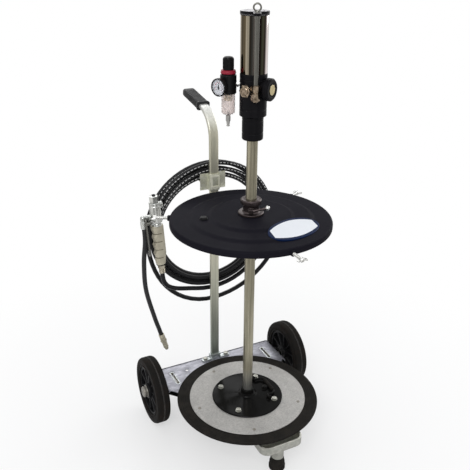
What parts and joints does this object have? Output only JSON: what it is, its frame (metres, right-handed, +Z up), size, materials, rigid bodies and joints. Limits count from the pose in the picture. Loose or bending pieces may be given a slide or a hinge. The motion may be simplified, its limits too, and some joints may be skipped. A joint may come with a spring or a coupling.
{
  "type": "mobile grease unit",
  "caption": "Air-driven grease pump with drum lid and follower plate on a wheeled trolley with a push handle, a coiled hose and a grease control gun.",
  "frame": {"origin": "on the floor under the middle of the unit without its hose: the middle of its width and of its depth from the front screw of the lid to the end of the push handle", "axes": "+Z up along the pump, +X along the wheel axle to the right of someone who faces the pump, +Y from the pump to the push handle"},
  "size_m": [0.5258, 0.6472, 1.1798],
  "materials": {
    "zinc": "zinc plated",
    "plate_zinc": "rolled and zinc plated",
    "black_paint": "matte black",
    "lid_paint": "satin blue-black",
    "rubber": "matte",
    "tyre": "matte",
    "rim_plastic": "moulded",
    "grip_plastic": "textured",
    "tube_steel": "yellowish zinc plated",
    "chrome": "polished",
    "motor_black": "black anodised",
    "steel": "turned",
    "nickel": "nickel plated",
    "brass": "sintered",
    "cast": "dark, satin",
    "reg_plastic": "black",
    "ring_red": "crimson",
    "bowl_clear": "clear",
    "dial_white": "printed",
    "lens": "clear",
    "gun_alu": "cast",
    "hose": "braid reinforced"
  },
  "bodies": {
    "trolley": {"front_fork": "zinc", "side_braces": "black_paint", "deck_plate": "plate_zinc", "foot_rubber": "rubber", "axle": "steel", "axle_caps": "zinc", "upright": "tube_steel", "handle_grip": "grip_plastic", "upright_clamp": "zinc", "trolley_bolts": "zinc", "hose_bracket": "zinc", "hose_coil": "hose", "hose_end": "nickel", "gun_body": "gun_alu", "gun_fittings": "nickel", "delivery_hose": "hose", "coupler": "nickel"},
    "wheel_left": {"wheel_rim_left": "rim_plastic", "tyre_left": "tyre"},
    "wheel_right": {"wheel_rim_right": "rim_plastic", "tyre_right": "tyre"},
    "pump": {"motor_cap": "chrome", "cap_gasket": "rubber", "lifting_eye": "zinc", "motor_cylinder": "chrome", "valve_body": "motor_black", "pump_neck": "motor_black", "transfer_tube": "nickel", "air_fittings": "nickel", "exhaust_housing": "motor_black", "exhaust_disc": "brass", "suction_tube": "tube_steel", "foot_valve": "steel", "regulator_body": "reg_plastic", "regulator_ring": "ring_red", "filter_bowl": "bowl_clear", "filter_element": "brass", "gauge_case": "reg_plastic", "gauge_dial": "dial_white", "gauge_lens": "lens"},
    "piston": {"air_piston": "steel", "piston_rod": "steel"},
    "needle": {"gauge_needle": "black_paint"},
    "knob": {"regulator_knob": "reg_plastic"},
    "drain": {"drain_valve": "nickel"},
    "drum_lid": {"lid": "lid_paint", "lid_collar": "cast", "lid_plug": "grip_plastic"},
    "clamp_lever": {"collar_lever": "cast"},
    "wing_front": {"wing_screw_front": "zinc"},
    "wing_left": {"wing_screw_left": "zinc"},
    "wing_right": {"wing_screw_right": "zinc"},
    "follower": {"follower_lip": "rubber", "follower_disc": "zinc", "follower_hub": "black_paint", "follower_bolts": "zinc", "follower_rivets": "steel", "vent_plug": "zinc"},
    "bail": {"bail_handle": "black_paint"},
    "trigger": {"gun_trigger": "nickel"}
  },
  "joints": [
    {"name": "wheel_left_spin", "type": "hinge", "parent": "trolley", "child": "wheel_left", "pos_m": [-0.226, 0.09036, 0.0975], "axis": [1, 0, 0], "continuous": true},
    {"name": "wheel_right_spin", "type": "hinge", "parent": "trolley", "child": "wheel_right", "pos_m": [0.226, 0.09036, 0.0975], "axis": [1, 0, 0], "continuous": true},
    {"name": "pump_lift", "type": "slide", "parent": "trolley", "child": "pump", "axis": [0, 0, 1], "range_m": [0, 0.74]},
    {"name": "piston_stroke", "type": "slide", "parent": "pump", "child": "piston", "axis": [0, 0, 1], "range_m": [0, 0.1]},
    {"name": "pressure_knob_turn", "type": "hinge", "parent": "pump", "child": "knob", "pos_m": [-0.05121, -0.04542, 1.04], "axis": [0, 0, 1], "range_deg": [-540, 540]},
    {"name": "gauge_needle_turn", "type": "hinge", "parent": "pump", "child": "needle", "pos_m": [-0.08619, -0.06173, 0.9953], "axis": [0.9063, 0.4226, 0], "range_deg": [-135, 135]},
    {"name": "drain_push", "type": "slide", "parent": "pump", "child": "drain", "axis": [0, 0, 1], "range_m": [0, 0.003], "stiffness_N_per_m": 400, "springref_m": -0.003},
    {"name": "lid_slide", "type": "slide", "parent": "pump", "child": "drum_lid", "axis": [0, 0, 1], "range_m": [-0.43, 0.13]},
    {"name": "clamp_lever_turn", "type": "hinge", "parent": "drum_lid", "child": "clamp_lever", "pos_m": [-0.01408, -0.09913, 0.6935], "axis": [0.4695, 0.8829, 0], "range_deg": [-150, 0]},
    {"name": "wing_front_in", "type": "slide", "parent": "drum_lid", "child": "wing_front", "axis": [0, 1, 0], "range_m": [0, 0.01]},
    {"name": "wing_left_in", "type": "slide", "parent": "drum_lid", "child": "wing_left", "axis": [0.866, -0.5, 0], "range_m": [0, 0.01]},
    {"name": "wing_right_in", "type": "slide", "parent": "drum_lid", "child": "wing_right", "axis": [-0.866, -0.5, 0], "range_m": [0, 0.01]},
    {"name": "follower_rise", "type": "slide", "parent": "trolley", "child": "follower", "axis": [0, 0, 1], "range_m": [0, 0.45]},
    {"name": "bail_fold", "type": "hinge", "parent": "follower", "child": "bail", "pos_m": [0.044, -0.07265, 0.1273], "axis": [0, -1, 0], "range_deg": [0, 95]},
    {"name": "trigger_pull", "type": "hinge", "parent": "trolley", "child": "trigger", "pos_m": [-0.19341, 0.13586, 0.60738], "axis": [0, -1, 0], "range_deg": [0, 7], "stiffness_Nm_per_rad": 1.2, "springref_deg": -8.59}
  ],
  "couplings": [
    {"joint": "gauge_needle_turn", "follows": "pressure_knob_turn", "ratio": 0.25}
  ]
}
